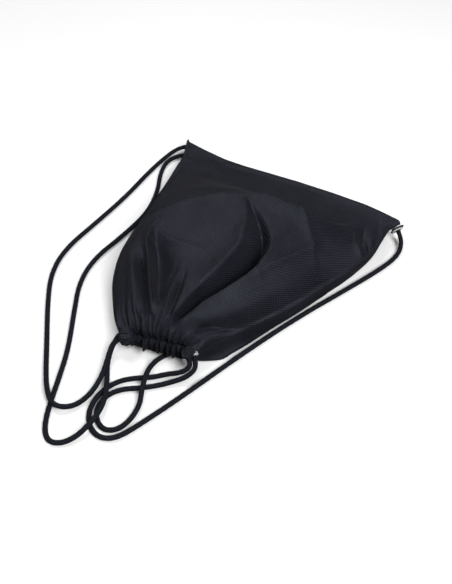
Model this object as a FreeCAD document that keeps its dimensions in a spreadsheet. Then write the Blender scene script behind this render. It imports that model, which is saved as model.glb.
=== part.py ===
import FreeCAD, Part
import math
import os

import Sketcher

# A drawstring backpack lying on its back, in millimetres, +Z up.
# The bottom seam runs along X at the +Y end, and the gathered mouth is at the -Y end.

Vector = FreeCAD.Vector
Rotation = FreeCAD.Rotation
Placement = FreeCAD.Placement

DIMENSIONS = {
    "fabric": 1.2,  # wall of the modelled cloth, thicker than the real cloth so that it stays solid
    "seam_left": 20.0,  # middle of the seam above the floor at the left bottom corner
    "seam_right": 27.0,  # the same at the right bottom corner
    "seam_neck": 22.0,  # the same at the neck
    "seam_depth": 10.0,  # width of the stitched seam allowance
    "seam_thick": 2.0,
    "corner_gap": 20.0,  # from the side seams to each end of the bottom seam
    "seam_start": 174.0,  # Y of the bottom seam's outer edge
    "bag_half": 170.0,  # half the width of the flat bottom edge
    "flank": 24.0,  # how far the underside's slopes reach in from the lips, at full width
    "mouth_x": 12.0,  # middle of the neck, where panels and hems meet
    "mouth_y": -138.6,
    "mouth_turn": 18.0,  # degrees that the mouth is turned about Z
    "hem_deep": 24.0,  # along the mouth's own axis
    "front_hem_thick": 10.0,
    "back_hem_thick": 9.0,
    "front_hem_radius": 32.5,
    "front_hem_centre": 11.5,  # height of the front hem's arc centre
    "front_hem_sweep": 97.0,
    "back_hem_radius": 132.0,
    "back_hem_centre": 149.0,
    "back_hem_sweep": 17.4,
    "cord": 6.0,
    "eyelet_bore": 6.3,  # radius, wide enough for two strands
    "eyelet_barrel": 7.1,
    "eyelet_rim": 9.5,
    "tab_bore": 3.6,
    "tab_barrel": 4.5,
    "tab_rim": 7.5,
    "rim_thick": 1.2,
    "patch_radius": 11.0,
    "patch_thick": 1.6,
    "tab_long": 17.5,
    "tab_wide": 17.0,
    "tab_thick": 2.2,
    "knot_long": 9.0,  # half the length of the knot that joins a cord's two ends
    "knot_wide": 7.0,
    "knot_high": 6.0,
}

# Cross-sections of the bag, from the bottom seam to the neck: the section's Y, its middle X,
# half width, height of its top, height of its underside, width of its lip at the seam, and
# the turn of its plane about Z in degrees.
STATIONS = [
    (174.0, 0.0, 170.0, 26.5, 18.5, 10.0, 0.0),
    (160.0, 3.5, 165.5, 34.0, 14.0, 10.0, 0.0),
    (140.0, 7.5, 161.5, 43.0, 4.0, 10.0, 0.0),
    (115.0, 11.0, 156.0, 56.0, -0.2, 10.0, 0.0),
    (88.0, 12.5, 151.5, 74.0, -0.2, 10.0, 0.0),
    (60.0, 13.0, 145.5, 87.0, -0.2, 10.0, 0.0),
    (25.0, 9.0, 135.5, 93.0, -0.2, 10.0, 0.0),
    (-15.0, 2.5, 122.0, 93.0, -0.2, 9.0, 0.0),
    (-55.0, -3.0, 111.0, 88.0, -0.2, 8.0, 5.0),
    (-92.0, -1.5, 90.5, 77.0, 4.0, 6.0, 11.0),
    (-120.0, 3.0, 65.5, 60.0, 11.0, 4.0, 15.0),
    (-138.6, 12.0, 41.0, 45.0, 16.5, 2.5, 18.0),
]
FIELDS = ("along", "middle", "half", "top", "under", "lip", "turn")
LETTERS = "abcdefghijkl"

doc = FreeCAD.newDocument("DrawstringBackpack")
sheet = doc.addObject("Spreadsheet::Sheet", "Dimensions")


def fill_sheet():
    """Writes every driving dimension to the sheet, each with its alias."""
    for row, (name, value) in enumerate(DIMENSIONS.items(), start=1):
        sheet.set("A%d" % row, name)
        sheet.set("B%d" % row, str(value))
        sheet.setAlias("B%d" % row, name)
    for number, station in enumerate(STATIONS):
        for column, field, value in zip("DEFGHIJ", FIELDS, station):
            cell = "%s%d" % (column, number + 1)
            sheet.set(cell, str(value))
            sheet.setAlias(cell, "station_%s_%s" % (field, LETTERS[number]))
    doc.recompute()


def dim(name):
    return float(sheet.get(name))


def station(field, number):
    return dim("station_%s_%s" % (field, LETTERS[number]))


fill_sheet()
TURN = math.radians(dim("mouth_turn"))
ACROSS = Vector(math.cos(TURN), math.sin(TURN), 0)  # along the mouth, towards the right exit
OUTWARD = Vector(math.sin(TURN), -math.cos(TURN), 0)  # out of the mouth
UP = Vector(0, 0, 1)
NECK = Vector(dim("mouth_x"), dim("mouth_y"), 0)


def at_mouth(across, outward, height):
    """A point given in the mouth's own directions."""
    return NECK + ACROSS * across + OUTWARD * outward + UP * height


def basis(x_axis, y_axis, z_axis):
    """The rotation whose columns are the three unit axes."""
    return Rotation(x_axis, y_axis, z_axis, "ZXY")


def plane_of(body, role):
    for feature in body.Origin.OriginFeatures:
        if feature.Role == role:
            return feature
    raise ValueError(role)


def new_body(name):
    body = doc.addObject("PartDesign::Body", name + "_body")
    body.Label = name
    return body


def new_sketch(body, role, name):
    sketch = body.newObject("Sketcher::SketchObject", name)
    sketch.AttachmentSupport = [(plane_of(body, role), "")]
    sketch.MapMode = "FlatFace"
    return sketch


def add_circle(sketch, radius, expression):
    """A circle about the sketch's origin, its radius bound to the sheet."""
    circle = sketch.addGeometry(Part.Circle(Vector(0, 0, 0), Vector(0, 0, 1), radius), False)
    sketch.addConstraint(Sketcher.Constraint("Coincident", circle, 3, -1, 1))
    radius_index = sketch.addConstraint(Sketcher.Constraint("Radius", circle, radius))
    sketch.setExpression("Constraints[%d]" % radius_index, expression)


def add_box(sketch, low, high, expressions):
    """A rectangle whose four sides are bound to the sheet: left, bottom, right, top."""
    corners = [(low[0], low[1]), (high[0], low[1]), (high[0], high[1]), (low[0], high[1])]
    lines = []
    for start, end in zip(corners, corners[1:] + corners[:1]):
        line = Part.LineSegment(Vector(start[0], start[1], 0), Vector(end[0], end[1], 0))
        lines.append(sketch.addGeometry(line, False))
    for number, line in enumerate(lines):
        following = lines[(number + 1) % 4]
        sketch.addConstraint(Sketcher.Constraint("Coincident", line, 2, following, 1))
        direction = "Horizontal" if number % 2 == 0 else "Vertical"
        sketch.addConstraint(Sketcher.Constraint(direction, line))
    bindings = [
        ("DistanceX", lines[0], low[0], expressions[0]),
        ("DistanceY", lines[0], low[1], expressions[1]),
        ("DistanceX", lines[2], high[0], expressions[2]),
        ("DistanceY", lines[2], high[1], expressions[3]),
    ]
    for kind, line, value, expression in bindings:
        index = sketch.addConstraint(Sketcher.Constraint(kind, -1, 1, line, 1, value))
        if expression:
            sketch.setExpression("Constraints[%d]" % index, expression)


def section_sketch(body, number, outline):
    """A closed outline of lines and three-point arcs in one station's own plane."""
    sketch = new_sketch(body, "XZ_Plane", "section_%d_%s" % (number, body.Name))
    place = Vector(station("middle", number), 0, -station("along", number))
    sketch.AttachmentOffset = Placement(place, Rotation(Vector(0, 1, 0), station("turn", number)))
    letter = LETTERS[number]
    sketch.setExpression("AttachmentOffset.Base.x", "Dimensions.station_middle_%s * 1 mm" % letter)
    sketch.setExpression("AttachmentOffset.Base.z", "-Dimensions.station_along_%s * 1 mm" % letter)
    for points in outline:
        corners = [Vector(x, z, 0) for x, z in points]
        edge = Part.LineSegment(*corners) if len(corners) == 2 else Part.Arc(*corners)
        sketch.addGeometry(edge, False)
    return sketch


def seam_low(number, side):
    """The height of the seam strip's underside at one station, on one side."""
    last = len(STATIONS) - 1
    fraction = (station("along", 0) - station("along", number)) / (station("along", 0) - station("along", last))
    corner = dim("seam_left") if side < 0 else dim("seam_right")
    return corner + (dim("seam_neck") - corner) * fraction - dim("seam_thick") / 2


def front_outline(number):
    """The front panel's section: two flat lips joined by an arch."""
    half, top, lip = (station(field, number) for field in ("half", "top", "lip"))
    cloth = dim("fabric")
    left, right = (seam_low(number, side) + dim("seam_thick") for side in (-1, 1))
    inner = half - lip
    return [
        [(-half, left), (-half, left + cloth)],
        [(-half, left + cloth), (-inner, left + cloth)],
        [(-inner, left + cloth), (0, top), (inner, right + cloth)],
        [(inner, right + cloth), (half, right + cloth)],
        [(half, right + cloth), (half, right)],
        [(half, right), (inner, right)],
        [(inner, right), (0, top - cloth), (-inner, left)],
        [(-inner, left), (-half, left)],
    ]


def back_outline(number):
    """The back panel's section: two flat lips, two slopes and a flat underside."""
    half, under, lip = (station(field, number) for field in ("half", "under", "lip"))
    flat = half - lip - dim("flank") * half / dim("bag_half")
    cloth = dim("fabric")
    left, right = (seam_low(number, side) for side in (-1, 1))
    inner = half - lip
    corners = [
        (-half, left),
        (-half, left - cloth),
        (-inner, left - cloth),
        (-flat, under),
        (flat, under),
        (inner, right - cloth),
        (half, right - cloth),
        (half, right),
        (inner, right),
        (flat, under + cloth),
        (-flat, under + cloth),
        (-inner, left),
    ]
    return [[start, end] for start, end in zip(corners, corners[1:] + corners[:1])]


def seam_outline(side):
    """A side seam's section: the strip between the two lips, on one side."""

    def outline(number):
        half, lip = station("half", number), station("lip", number)
        low = seam_low(number, side)
        high = low + dim("seam_thick")
        inner = half - lip
        corners = [(side * inner, low), (side * half, low), (side * half, high), (side * inner, high)]
        return [[start, end] for start, end in zip(corners, corners[1:] + corners[:1])]

    return outline


def lofted(name, outline, first=0):
    """A body lofted through the stations, straight from each one to the next."""
    body = new_body(name)
    sketches = [section_sketch(body, number, outline(number)) for number in range(first, len(STATIONS))]
    loft = body.newObject("PartDesign::AdditiveLoft", name + "_loft")
    loft.Profile = sketches[0]
    loft.Sections = sketches[1:]
    loft.Ruled = True
    loft.Closed = False
    return body


def level(body):
    """Trims what lies below the floor, which leaves the body one true plane to rest on."""
    sketch = new_sketch(body, "XY_Plane", body.Name + "_floor")
    reach = dim("seam_start")
    add_box(sketch, (-reach, -reach), (reach, reach), [None] * 4)
    pocket = body.newObject("PartDesign::Pocket", body.Name + "_trim")
    pocket.Profile = sketch
    pocket.Length = 5.0


def hem(name, radius, centre, thick, sweep, upward):
    """A hem: a flattened tunnel swept round part of a circle that faces the mouth's axis."""
    body = new_body(name)
    sketch = new_sketch(body, "YZ_Plane", name + "_profile")
    deep = dim("hem_deep")
    wall = dim("fabric")
    sign = 1 if upward else -1
    middle = sign * dim(radius)
    half = dim(thick) / 2
    for inset in (0.0, wall):
        low = (middle - half + inset, inset)
        high = (middle + half - inset, deep - inset)
        shrink = " - Dimensions.fabric" if inset else ""
        grow = " + Dimensions.fabric" if inset else ""
        arm = "%d * Dimensions.%s" % (sign, radius)
        sides = [
            arm + " - Dimensions.%s / 2" % thick + grow,
            "Dimensions.fabric" if inset else None,
            arm + " + Dimensions.%s / 2" % thick + shrink,
            "Dimensions.hem_deep" + shrink,
        ]
        add_box(sketch, low, high, sides)
    turned = body.newObject("PartDesign::Revolution", name + "_sweep")
    turned.Profile = sketch
    turned.ReferenceAxis = (plane_axis(body), [""])
    turned.Midplane = True
    turned.setExpression("Angle", "Dimensions.%s" % sweep)
    body.Placement = Placement(at_mouth(0, 0, dim(centre)), basis(ACROSS, UP, OUTWARD))
    return body


def plane_axis(body):
    for feature in body.Origin.OriginFeatures:
        if feature.Role == "Z_Axis":
            return feature
    raise ValueError("Z_Axis")


def facing(direction, hint):
    """The rotation that turns local Z to a direction, with local X close to a hint."""
    z_axis = Vector(direction).normalize()
    y_axis = z_axis.cross(hint).normalize()
    x_axis = y_axis.cross(z_axis)
    return basis(x_axis, y_axis, z_axis)


def patch(name, centre, rotation):
    """A round reinforcing patch with a hole for the eyelet's barrel."""
    body = new_body(name)
    sketch = new_sketch(body, "XY_Plane", name + "_outline")
    add_circle(sketch, dim("patch_radius"), "Dimensions.patch_radius")
    add_circle(sketch, dim("eyelet_barrel"), "Dimensions.eyelet_barrel")
    pad = body.newObject("PartDesign::Pad", name + "_pad")
    pad.Profile = sketch
    pad.Midplane = True
    pad.setExpression("Length", "Dimensions.patch_thick")
    body.Placement = Placement(centre, rotation)
    return body


def revolved(name, corners, centre, rotation):
    """A ring turned about local Z from its section's corners: radius, height."""
    body = new_body(name)
    sketch = new_sketch(body, "XZ_Plane", name + "_section")
    for start, end in zip(corners, corners[1:] + corners[:1]):
        line = Part.LineSegment(Vector(start[0], start[1], 0), Vector(end[0], end[1], 0))
        sketch.addGeometry(line, False)
    ring = body.newObject("PartDesign::Revolution", name + "_ring")
    ring.Profile = sketch
    ring.ReferenceAxis = (plane_axis(body), [""])
    ring.Angle = 360.0
    body.Placement = Placement(centre, rotation)
    return body


def eyelet_pair(name, bore, barrel, rim, cloth, centre, rotation):
    """An eyelet with its outer rim and barrel, and the washer that the barrel is rolled over."""
    half = cloth / 2
    thick = dim("rim_thick")
    eyelet = [
        (bore, -half - thick),
        (barrel, -half - thick),
        (barrel, half),
        (rim, half),
        (rim - thick / 2, half + thick * 0.7),
        (barrel, half + thick),
        (bore + 0.3, half + thick * 0.8),
        (bore, half + thick * 0.3),
    ]
    washer = [
        (barrel, -half - thick),
        (rim - thick / 2, -half - thick),
        (rim, -half),
        (barrel, -half),
    ]
    revolved(name + "_eyelet", eyelet, centre, rotation)
    revolved(name + "_washer", washer, centre, rotation)


def corner_tab(name, centre, rotation):
    """A webbing tab with a hole for its eyelet's barrel at local origin."""
    body = new_body(name)
    sketch = new_sketch(body, "XY_Plane", name + "_outline")
    half = dim("tab_wide") / 2
    low = (half - dim("tab_long"), -half)
    sides = [
        "Dimensions.tab_wide / 2 - Dimensions.tab_long",
        "-Dimensions.tab_wide / 2",
        "Dimensions.tab_wide / 2",
        "Dimensions.tab_wide / 2",
    ]
    add_box(sketch, low, (half, half), sides)
    add_circle(sketch, dim("tab_barrel"), "Dimensions.tab_barrel")
    pad = body.newObject("PartDesign::Pad", name + "_pad")
    pad.Profile = sketch
    pad.Midplane = True
    pad.setExpression("Length", "Dimensions.tab_thick")
    body.Placement = Placement(centre, rotation)
    return body


def tube_wire(points):
    """Straight runs joined by tangent arcs, each arc as large as its two runs allow."""
    edges = []
    start = points[0]
    radii = []
    for before, corner, after in zip(points, points[1:], points[2:]):
        run_in = corner - before
        run_out = after - corner
        half_turn = run_in.getAngle(run_out) / 2
        reach = 0.45 * min(run_in.Length, run_out.Length)
        into = Vector(run_in).normalize()
        out_of = Vector(run_out).normalize()
        arc_start = corner - into * reach
        arc_end = corner + out_of * reach
        radius = reach / math.tan(half_turn)
        bisector = (out_of - into).normalize()
        centre = corner + bisector * (radius / math.cos(half_turn))
        arc_middle = centre - bisector * radius
        edges.append(Part.LineSegment(start, arc_start).toShape())
        edges.append(Part.Arc(arc_start, arc_middle, arc_end).toShape())
        radii.append(radius)
        start = arc_end
    edges.append(Part.LineSegment(start, points[-1]).toShape())
    return Part.Wire(edges), radii


def tube(name, points):
    """One stretch of cord: a round section swept along its wire."""
    wire, radii = tube_wire([Vector(*point) for point in points])
    radius = dim("cord") / 2
    direction = Vector(*points[1]) - Vector(*points[0])
    circle = Part.Wire([Part.Circle(Vector(*points[0]), direction, radius).toShape()])
    shape = wire.makePipeShell([circle], True, False)
    section = math.pi * radius * radius
    ratio = shape.Volume / (section * wire.Length)
    print("%-24s length %6.1f  volume ratio %.4f  least radius %5.1f" % (name, wire.Length, ratio, min(radii)))
    print("    radii " + " ".join("%.0f" % value for value in radii))
    solid = doc.addObject("Part::Feature", name + "_solid")
    solid.Label = name
    solid.Shape = shape
    solid.Placement = Placement()
    return solid


# The panels, the seams between them and the bottom seam, which slopes with the two corners.
lofted("front_panel", front_outline)
level(lofted("back_panel", back_outline))
lofted("left_side_seam", seam_outline(-1), first=1)
lofted("right_side_seam", seam_outline(1), first=1)
bottom = doc.addObject("Part::Box", "bottom_seam_box")
bottom.Label = "bottom_seam"
bottom.setExpression("Length", "2 * (Dimensions.bag_half - Dimensions.seam_depth - Dimensions.corner_gap) * 1 mm")
bottom.setExpression("Width", "Dimensions.seam_depth * 1 mm")
bottom.setExpression("Height", "Dimensions.seam_thick * 1 mm")
BOTTOM_HALF = dim("bag_half") - dim("seam_depth") - dim("corner_gap")
RISE = (dim("seam_right") - dim("seam_left")) / (2 * dim("bag_half"))
bottom.Placement = Placement(
    Vector(
        -BOTTOM_HALF,
        dim("seam_start") - dim("seam_depth"),
        (dim("seam_left") + dim("seam_right") - dim("seam_thick")) / 2 - BOTTOM_HALF * RISE,
    ),
    Rotation(Vector(0, 1, 0), -math.degrees(math.atan(RISE))),
)

# The hems.
hem("front_hem_channel", "front_hem_radius", "front_hem_centre", "front_hem_thick", "front_hem_sweep", True)
hem("back_hem_channel", "back_hem_radius", "back_hem_centre", "back_hem_thick", "back_hem_sweep", False)

# The mouth's eyelets, one at each side, facing the way the strands leave.
EXITS = {
    "left": (at_mouth(-42.8, 10.5, 23.5), (ACROSS * -0.96 + OUTWARD * 0.12 - UP * 0.25).normalize()),
    "right": (at_mouth(37.5, 18.5, 23.5), (ACROSS * 0.62 + OUTWARD * 0.7 - UP * 0.36).normalize()),
}
for side, (centre, face) in EXITS.items():
    turned = facing(face, UP.cross(face))
    patch(side + "_mouth_patch", centre, turned)
    sizes = (dim("eyelet_bore"), dim("eyelet_barrel"), dim("eyelet_rim"), dim("patch_thick"))
    eyelet_pair(side + "_mouth", *sizes, centre, turned)

# The corner tabs: the eyelet's centre, the way it faces, and the way the tab hangs.
TABS = {
    "left": (Vector(-169, 175, 9.4), Vector(-0.85, -0.5, -0.11), Vector(0, 0, -1)),
    "right": (Vector(166, 172.6, 16.8), Vector(0.78, -0.5, -0.38), Vector(-0.2, 0.38, -0.9)),
}
TAB_SIZES = (dim("tab_bore"), dim("tab_barrel"), dim("tab_rim"), dim("tab_thick"))
for side, (centre, face, hangs) in TABS.items():
    turned = facing(face, hangs)
    corner_tab(side + "_corner_tab", centre, turned)
    eyelet_pair(side + "_tab", *TAB_SIZES, centre, turned)

# The knots, under the bag close to each corner.
KNOTS = {"left": Vector(-146, 166, 6.5), "right": Vector(147, 161, 6.5)}
for side, centre in KNOTS.items():
    knot = doc.addObject("Part::Ellipsoid", side + "_knot_solid")
    knot.Label = side + "_cord_knot"
    knot.setExpression("Radius1", "Dimensions.knot_high * 1 mm")
    knot.setExpression("Radius2", "Dimensions.knot_long * 1 mm")
    knot.setExpression("Radius3", "Dimensions.knot_wide * 1 mm")
    knot.Placement = Placement(centre, Rotation(UP, 30.0 if side == "left" else 150.0))


def beside(side, offset):
    """A strand's place in its mouth eyelet, to one side of the eyelet's centre."""
    centre, face = EXITS[side]
    return centre + UP.cross(face).normalize() * offset


def leaving(side, offset, far):
    """The strand's first two points: in the eyelet, and a little way out of it."""
    start = beside(side, offset)
    return [tuple(start), tuple(start + EXITS[side][1] * far)]


def arriving(side, near):
    """The strand's last points: to the tab's eyelet, through it, and on to the knot."""
    centre, face, _ = TABS[side]
    return [tuple(centre + face * near), tuple(centre - face * 9)]


STRAND = dim("cord") / 2 + 0.1
REST = dim("cord") / 2  # height of a cord's centre where it lies on the floor
OVER = 15.0  # height of a cord's centre where it passes over another

LEFT_UPPER = leaving("left", STRAND, 5.5) + [
    (-35.5, -174, 17.5),
    (-31.5, -188, OVER),
    (-22, -209, OVER),
    (-19, -232, 6),
    (-23, -253, 4),
    (-33, -266, 9),
    (-46, -269, OVER),
    (-63, -257, OVER),
    (-82, -238, 5),
    (-107, -209, REST),
    (-146, -164, REST),
    (-177, -123, REST),
    (-190, -80, REST),
    (-187, -20, REST),
    (-185, 45, REST),
    (-189, 105, REST),
    (-188, 143, REST),
    (-184, 161, 5),
] + arriving("left", 8.0) + [(-150.5, 171, 7.5)]

LEFT_LOWER = leaving("left", -STRAND, 5.5) + [
    (-37, -162, 16),
    (-37, -176, 7),
    (-31, -191, REST),
    (-21, -204, 6),
    (-13, -213, OVER),
    (-2, -229, OVER),
    (5, -247, OVER),
    (6, -266, OVER),
    (2, -283, 6),
    (-7, -298, REST),
    (-21, -304, REST),
    (-35, -294, REST),
    (-48, -272, REST),
    (-62, -241, REST),
    (-80, -203, REST),
    (-110, -157, REST),
    (-137, -115, REST),
    (-147, -72, REST),
    (-141, -20, REST),
    (-140, 34, REST),
    (-154, 76, REST),
    (-174, 110, REST),
    (-181, 137, REST),
    (-174, 154, 4),
    (-162, 161, 6),
    (-152, 162.5, 6.5),
]

RIGHT_UPPER = leaving("right", -STRAND, 8.0) + [
    (57.0, -157.0, 15.0),
    (48.0, -163.5, 9.0),
    (37, -168.5, 5),
    (25, -180, REST),
    (9, -191, REST),
    (-4, -204, REST),
    (-11, -220, REST),
    (-12, -239, REST),
    (-6, -256, REST),
    (7, -268, REST),
    (23, -271.5, REST),
    (38, -262, REST),
    (49, -235, REST),
    (67, -183, REST),
    (93, -99, REST),
    (121, -19, REST),
    (150, 50, REST),
    (171, 101, REST),
    (182.5, 138, REST),
    (180, 160, 5),
] + arriving("right", 8.0) + [(149.5, 165, 8)]

RIGHT_LOWER = leaving("right", STRAND, 7.0) + [
    (64.5, -152.5, 15),
    (59, -162.5, 9),
    (51, -170, 5),
    (38, -184, REST),
    (22, -198.5, REST),
    (6, -210, REST),
    (-4, -225, REST),
    (-4, -243, REST),
    (6, -257, REST),
    (21, -262, REST),
    (33, -253, REST),
    (37, -236, REST),
    (35, -217, 7),
    (28, -204, OVER),
    (19, -184, OVER),
    (15, -168, 7),
    (17, -151, REST),
    (30, -129, REST),
    (51, -108, REST),
    (77, -80, REST),
    (95, -42, REST),
    (112, -2, REST),
    (129, 37, REST),
    (142, 75, REST),
    (147, 110, REST),
    (150, 135, 4),
    (149.5, 148, 5.5),
    (149, 155, 6),
]


def through_hems(cord_side, reach):
    """A cord's route from one strand, round both hems, to its other strand.

    The far side's turn joins the two hems; reach is how far along the mouth's axis it lies.
    """
    way = 1 if cord_side == "right" else -1
    step = math.radians(24.0)
    corner = dim("front_hem_radius") / math.cos(step / 2)
    route = []
    for number in (2, 1, 0, -1, -2):
        angle = way * number * step
        height = dim("front_hem_centre") + corner * math.cos(angle)
        route.append(at_mouth(corner * math.sin(angle), reach, height))
    route.append(at_mouth(-way * 30.0, reach, 26.8))
    route.append(at_mouth(-way * 27.0, reach, 19.4))
    route.append(at_mouth(-way * 10.0, reach, 17.0))
    route.append(at_mouth(way * 10.0, reach, 17.0))
    return [tuple(point) for point in route]


def inside(side, offset, far):
    return tuple(beside(side, offset) - EXITS[side][1] * far)


RIGHT_RUN = (
    [tuple(beside("right", -STRAND)), inside("right", -STRAND, 8.0)]
    + through_hems("right", 17.5)
    + [tuple(at_mouth(23.5, 12.5, 18.7)), inside("right", STRAND, 7.5), tuple(beside("right", STRAND))]
)
LEFT_RUN = (
    [tuple(beside("left", STRAND)), inside("left", STRAND, 7.0), tuple(at_mouth(-29, 6.5, 28.5))]
    + through_hems("left", 5.0)
    + [tuple(at_mouth(-24, 4.8, 18.8))]
    + [inside("left", -STRAND, 7.0), tuple(beside("left", -STRAND))]
)

for name, route in (
    ("left_cord_upper_strand", LEFT_UPPER),
    ("left_cord_lower_strand", LEFT_LOWER),
    ("left_cord_hem_run", LEFT_RUN),
    ("right_cord_upper_strand", RIGHT_UPPER),
    ("right_cord_lower_strand", RIGHT_LOWER),
    ("right_cord_hem_run", RIGHT_RUN),
):
    tube(name, route)

# Every object is checked before anything is written.
doc.recompute()
PIECES = ("PartDesign::Body", "Part::Feature", "Part::Box", "Part::Ellipsoid")
for item in doc.Objects:
    if "Invalid" in item.State or "Error" in item.State:
        raise RuntimeError("%s has failed: %s" % (item.Label, item.State))
pieces = [item for item in doc.Objects if item.TypeId in PIECES]
for item in pieces:
    if item.Shape.isNull() or not item.Shape.isValid():
        raise RuntimeError("%s has no valid shape" % item.Label)

os.makedirs("parts", exist_ok=True)
for item in pieces:
    box = item.Shape.optimalBoundingBox()
    limits = (box.XMin, box.XMax, box.YMin, box.YMax, box.ZMin, box.ZMax)
    print("%-24s" % item.Label + " ".join("%7.1f" % value for value in limits))
    item.Shape.exportStep("parts/%s.step" % item.Label)
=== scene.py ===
import math
import random

import bmesh
import bpy
import numpy as np
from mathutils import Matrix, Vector


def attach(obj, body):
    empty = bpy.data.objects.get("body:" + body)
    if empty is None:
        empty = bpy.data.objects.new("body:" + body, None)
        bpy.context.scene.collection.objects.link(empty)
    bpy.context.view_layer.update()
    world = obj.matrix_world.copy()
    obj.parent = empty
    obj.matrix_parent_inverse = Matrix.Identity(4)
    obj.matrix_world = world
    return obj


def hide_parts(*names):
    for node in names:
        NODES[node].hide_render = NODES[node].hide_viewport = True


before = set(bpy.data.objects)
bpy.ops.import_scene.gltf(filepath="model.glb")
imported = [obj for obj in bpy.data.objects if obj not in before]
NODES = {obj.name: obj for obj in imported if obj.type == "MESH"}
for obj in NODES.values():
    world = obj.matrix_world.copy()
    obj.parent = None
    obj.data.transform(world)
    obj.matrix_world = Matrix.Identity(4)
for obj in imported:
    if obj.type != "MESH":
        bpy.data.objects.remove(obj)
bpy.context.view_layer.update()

# A drawstring backpack lying on its back. Lengths in the lists below are millimetres.
MM = 0.001
CORD = 6.0

for name in ("Cube", "Camera", "Light"):
    if name in bpy.data.objects:
        bpy.data.objects.remove(bpy.data.objects[name])


def new_object(name, data):
    obj = bpy.data.objects.new(name, data)
    bpy.context.scene.collection.objects.link(obj)
    return obj


# ---------------------------------------------------------------- camera, floor and lights
def make_camera():
    data = bpy.data.cameras.new("camera")
    data.sensor_fit = "AUTO"
    data.sensor_width = 36.0
    data.lens = 43.15
    data.clip_start = 0.01
    data.clip_end = 20.0
    cam = new_object("camera", data)
    tilt = math.radians(50.0)
    flat = Vector((-0.536, 0.844, 0.0)).normalized()
    forward = flat * math.cos(tilt) - Vector((0, 0, 1)) * math.sin(tilt)
    cam.location = (0.3272, -0.5017, 0.6695)
    cam.rotation_mode = "QUATERNION"
    cam.rotation_quaternion = forward.to_track_quat("-Z", "Y")
    bpy.context.scene.camera = cam


def set_inputs(node, values):
    """Sets a shader node's sockets to constants, by name."""
    for socket, value in values.items():
        node.inputs[socket].default_value = value


def nodes_of(name):
    """A new material with its node tree and its shader."""
    mat = bpy.data.materials.new(name)
    mat.use_nodes = True
    tree = mat.node_tree
    return mat, tree, tree.nodes["Principled BSDF"]


FLOOR_REACH = 1.8
FLOOR_GAP = 0.0004
BACKDROP_RADIUS = 5.5


def make_floor():
    mat, tree, shader = nodes_of("floor_paint")
    set_inputs(shader, {"Roughness": 0.9, "Specular IOR Level": 0.2})
    noise = tree.nodes.new("ShaderNodeTexNoise")
    set_inputs(noise, {"Scale": 3.0})
    ramp = tree.nodes.new("ShaderNodeValToRGB")
    ramp.color_ramp.elements[0].color = (0.90, 0.90, 0.90, 1)
    ramp.color_ramp.elements[1].color = (0.93, 0.93, 0.93, 1)
    tree.links.new(noise.outputs["Fac"], ramp.inputs["Fac"])
    tree.links.new(ramp.outputs["Color"], shader.inputs["Base Color"])
    mesh = bpy.data.meshes.new("floor")
    reach = FLOOR_REACH
    corners = [(-reach, -reach, 0), (reach, -reach, 0), (reach, reach, 0), (-reach, reach, 0)]
    mesh.from_pydata(corners, [], [(0, 1, 2, 3)])
    mesh.materials.append(mat)
    floor = new_object("floor", mesh)
    floor.location.z = -FLOOR_GAP
    floor.visible_glossy = False
    make_backdrop(BACKDROP_RADIUS)


def make_backdrop(radius):
    """A pale dome that only the camera sees, so that low views have a plain background."""
    mat, _, shader = nodes_of("backdrop_paper")
    set_inputs(shader, {"Base Color": (0, 0, 0, 1), "Emission Color": (0.93, 0.93, 0.93, 1),
                        "Emission Strength": 1.0})
    mesh = bpy.data.meshes.new("backdrop")
    shape = bmesh.new()
    bmesh.ops.create_icosphere(shape, subdivisions=4, radius=radius)
    shape.to_mesh(mesh)
    shape.free()
    mesh.materials.append(mat)
    dome = new_object("backdrop", mesh)
    for ray in ("diffuse", "glossy", "transmission", "shadow", "volume_scatter"):
        setattr(dome, "visible_" + ray, False)


def soft_box(name, place, aim, width, height, power):
    """A rectangular studio light that points at aim."""
    data = bpy.data.lights.new(name, "AREA")
    data.shape = "RECTANGLE"
    data.size = width
    data.size_y = height
    data.energy = power
    lamp = new_object(name, data)
    lamp.location = place
    lamp.rotation_mode = "QUATERNION"
    lamp.rotation_quaternion = (Vector(aim) - Vector(place)).to_track_quat("-Z", "Y")


def make_lights():
    world = bpy.data.worlds.new("studio")
    world.use_nodes = True
    tree = world.node_tree
    set_inputs(tree.nodes["Background"], {"Color": (1, 1, 1, 1)})
    coords = tree.nodes.new("ShaderNodeTexCoord")
    split = tree.nodes.new("ShaderNodeSeparateXYZ")
    tree.links.new(coords.outputs["Generated"], split.inputs["Vector"])
    fade = tree.nodes.new("ShaderNodeMapRange")
    set_inputs(fade, {"From Min": 0.0, "From Max": 0.8, "To Min": 0.035, "To Max": 0.15})
    tree.links.new(split.outputs["Z"], fade.inputs["Value"])
    tree.links.new(fade.outputs["Result"], tree.nodes["Background"].inputs["Strength"])
    bpy.context.scene.world = world
    bpy.context.scene.view_settings.view_transform = "Standard"
    bpy.context.scene.view_settings.look = "None"
    soft_box("key", (-0.75, 0.42, 2.0), (0, 0, 0), 0.8, 0.8, 18.5)
    soft_box("back", (-1.23, 1.94, 1.93), (0, 0, 0.05), 0.9, 0.2, 5.5)
    soft_box("front", (0.35, -1.0, 1.7), (0, 0, 0), 0.35, 0.35, 3)
    soft_box("side", (-1.8, -0.9, 0.9), (0, 0, 0), 0.8, 0.8, 4.5)
    soft_box("right", (1.25, -0.48, 1.61), (0, 0, 0), 0.8, 1.1, 43)


# ---------------------------------------------------------------- materials
def math_node(tree, kind, first, second=None):
    node = tree.nodes.new("ShaderNodeMath")
    node.operation = kind
    for socket, value in zip(node.inputs, (first, second)):
        if value is None:
            continue
        if isinstance(value, (int, float)):
            socket.default_value = value
        else:
            tree.links.new(value, socket)
    return node.outputs["Value"]


def uv_axes(tree):
    coords = tree.nodes.new("ShaderNodeTexCoord")
    split = tree.nodes.new("ShaderNodeSeparateXYZ")
    tree.links.new(coords.outputs["UV"], split.inputs["Vector"])
    return coords, split.outputs["X"], split.outputs["Y"]


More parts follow.
